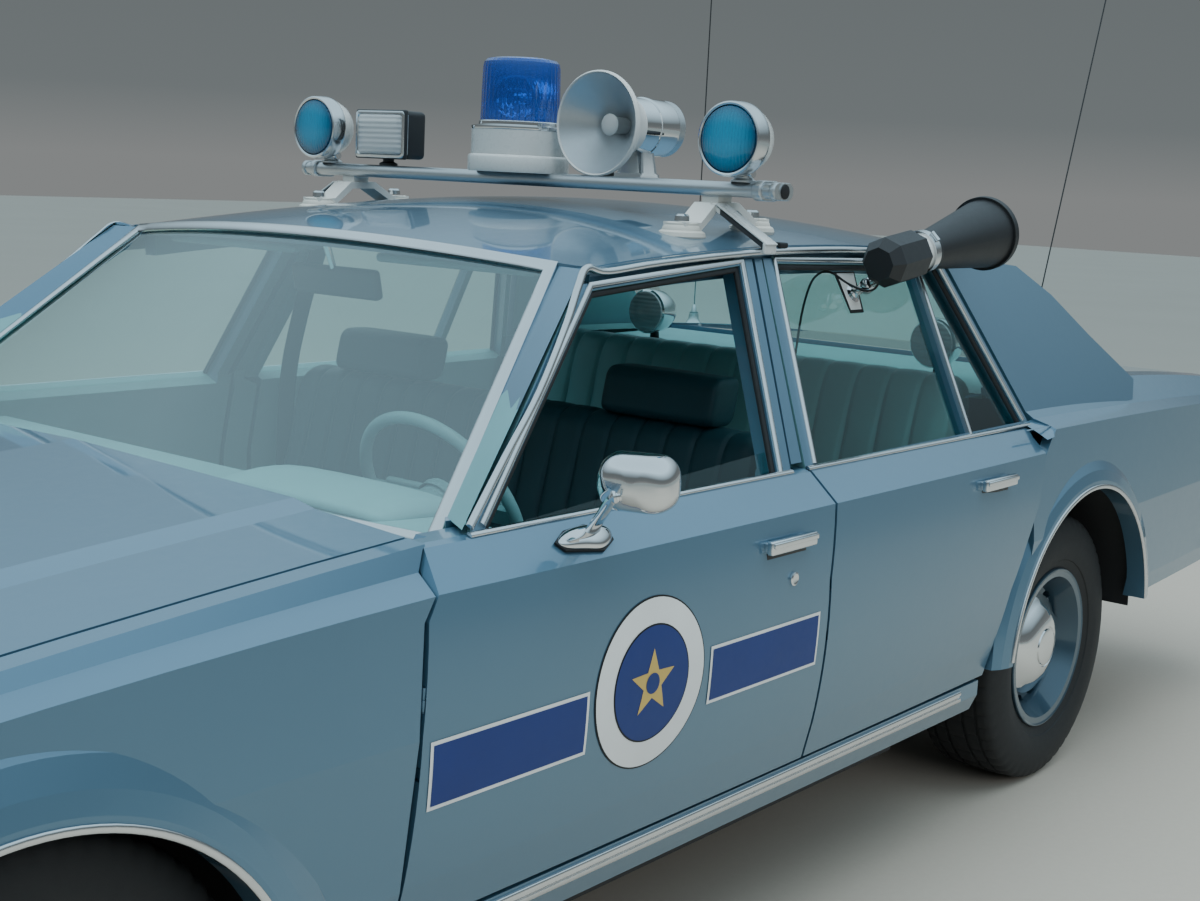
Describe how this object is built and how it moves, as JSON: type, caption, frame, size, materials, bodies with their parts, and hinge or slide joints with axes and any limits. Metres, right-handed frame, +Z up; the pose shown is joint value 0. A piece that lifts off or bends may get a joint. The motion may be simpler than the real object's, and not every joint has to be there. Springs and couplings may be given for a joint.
{
  "type": "police patrol car",
  "caption": "full-size four-door patrol sedan with opening doors, hood and trunk, steered front wheels, roof bar with beacon, siren horn and lamps, and a radar antenna",
  "frame": {"origin": "on the ground under the middle of the length, in the plane of symmetry (the left door mirror stands outside the width of the body)", "axes": "+X forward, +Y to the car's left, +Z up"},
  "size_m": [5.387, 2.0365, 2.2999],
  "materials": {
    "paint": "light metallic steel-blue body paint",
    "chrome": "polished bright metal",
    "glass": "green-tinted safety glass",
    "vinyl": "pleated blue vinyl",
    "dash": "padded light blue-green dash",
    "black_metal": "satin black chassis paint",
    "tyre": "black sidewall tyre",
    "engine": "cast block",
    "steel": "bare tank and pipe steel",
    "aluminium": "satin extruded aluminium",
    "white": "white enamelled beacon base",
    "blue_dome": "transparent blue dome",
    "blue_lens": "cyan-blue lamp lens",
    "lamp_glass": "clear sealed-beam lens",
    "red_lens": "red tail lamp lens",
    "black_plastic": "black moulded housing",
    "trim_cloth": "carpeted shelf"
  },
  "bodies": {
    "body_shell": {"beacon_base": "white", "beacon_dome": "blue_dome", "body_glass": "glass", "centre_pillars": "paint", "chassis_frame": "black_metal", "cowl_panel": "paint", "dashboard": "dash", "exhaust": "steel", "floor_pan": "paint", "front_bumper": "chrome", "front_fenders": "paint", "front_seat": "vinyl", "front_suspension": "black_metal", "fuel_tank": "steel", "grille": "chrome", "head_lamps": "lamp_glass", "hinge_pillars": "paint", "lamp_lenses": "blue_lens", "light_bar": "aluminium", "nose_panel": "paint", "package_shelf": "trim_cloth", "powertrain": "engine", "quarter_panels": "paint", "rear_axle": "black_metal", "rear_bumper": "chrome", "rear_panel": "paint", "rear_seat": "vinyl", "roof_lamps": "aluminium", "roof_panel": "paint", "sills": "paint", "siren_horn": "aluminium", "tail_lamps": "red_lens", "wheel_housings": "black_metal", "whip_antenna_right": "black_plastic", "windshield_pillars": "paint"},
    "hood": {"hood": "paint"},
    "trunk_lid": {"trunk_lid": "paint", "whip_antenna_rear": "black_plastic"},
    "door_front_left": {"door_front_left": "paint", "glass_front_left": "glass", "mirror_left": "chrome"},
    "door_front_right": {"door_front_right": "paint", "glass_front_right": "glass"},
    "door_rear_left": {"door_rear_left": "paint", "glass_rear_left": "glass", "radar_antenna": "black_plastic", "radar_cord": "black_plastic"},
    "door_rear_right": {"door_rear_right": "paint", "glass_rear_right": "glass"},
    "knuckle_left": {"knuckle_left": "black_metal"},
    "knuckle_right": {"knuckle_right": "black_metal"},
    "wheel_front_left": {"rim_front_left": "paint", "tyre_front_left": "tyre"},
    "wheel_front_right": {"rim_front_right": "paint", "tyre_front_right": "tyre"},
    "wheel_rear_left": {"rim_rear_left": "paint", "tyre_rear_left": "tyre"},
    "wheel_rear_right": {"rim_rear_right": "paint", "tyre_rear_right": "tyre"},
    "steering_wheel": {"steering_wheel": "black_plastic"}
  },
  "joints": [
    {"name": "steer_left", "type": "hinge", "parent": "body_shell", "child": "knuckle_left", "pos_m": [1.663, 0.712, 0.346], "axis": [0, 0, 1], "range_deg": [-32, 32]},
    {"name": "steer_right", "type": "hinge", "parent": "body_shell", "child": "knuckle_right", "pos_m": [1.663, -0.712, 0.346], "axis": [0, 0, 1], "range_deg": [-32, 32]},
    {"name": "steering_wheel_turn", "type": "hinge", "parent": "body_shell", "child": "steering_wheel", "pos_m": [0.45, 0.37, 0.862], "axis": [-0.8832, 0, 0.4691], "range_deg": [-512, 512]},
    {"name": "spin_front_left", "type": "hinge", "parent": "knuckle_left", "child": "wheel_front_left", "pos_m": [1.663, 0.785, 0.346], "axis": [0, 1, 0], "continuous": true},
    {"name": "spin_front_right", "type": "hinge", "parent": "knuckle_right", "child": "wheel_front_right", "pos_m": [1.663, -0.785, 0.346], "axis": [0, 1, 0], "continuous": true},
    {"name": "spin_rear_left", "type": "hinge", "parent": "body_shell", "child": "wheel_rear_left", "pos_m": [-1.283, 0.772, 0.346], "axis": [0, 1, 0], "continuous": true},
    {"name": "spin_rear_right", "type": "hinge", "parent": "body_shell", "child": "wheel_rear_right", "pos_m": [-1.283, -0.772, 0.346], "axis": [0, 1, 0], "continuous": true},
    {"name": "door_front_left_swing", "type": "hinge", "parent": "body_shell", "child": "door_front_left", "pos_m": [1.07, 0.951, 0.66], "axis": [0, 0, -1], "range_deg": [0, 65]},
    {"name": "door_front_right_swing", "type": "hinge", "parent": "body_shell", "child": "door_front_right", "pos_m": [1.07, -0.951, 0.66], "axis": [0, 0, 1], "range_deg": [0, 65]},
    {"name": "door_rear_left_swing", "type": "hinge", "parent": "body_shell", "child": "door_rear_left", "pos_m": [-0.022, 0.956, 0.66], "axis": [0, 0, -1], "range_deg": [0, 62]},
    {"name": "door_rear_right_swing", "type": "hinge", "parent": "body_shell", "child": "door_rear_right", "pos_m": [-0.022, -0.956, 0.66], "axis": [0, 0, 1], "range_deg": [0, 62]},
    {"name": "hood_lift", "type": "hinge", "parent": "body_shell", "child": "hood", "pos_m": [1, 0, 0.987], "axis": [0, -1, 0], "range_deg": [0, 50]},
    {"name": "trunk_lift", "type": "hinge", "parent": "body_shell", "child": "trunk_lid", "pos_m": [-1.748, 0, 1.019], "axis": [0, 1, 0], "range_deg": [0, 75]}
  ],
  "couplings": [
    {"joint": "steer_right", "follows": "steer_left", "ratio": 1},
    {"joint": "steering_wheel_turn", "follows": "steer_left", "ratio": 16}
  ]
}
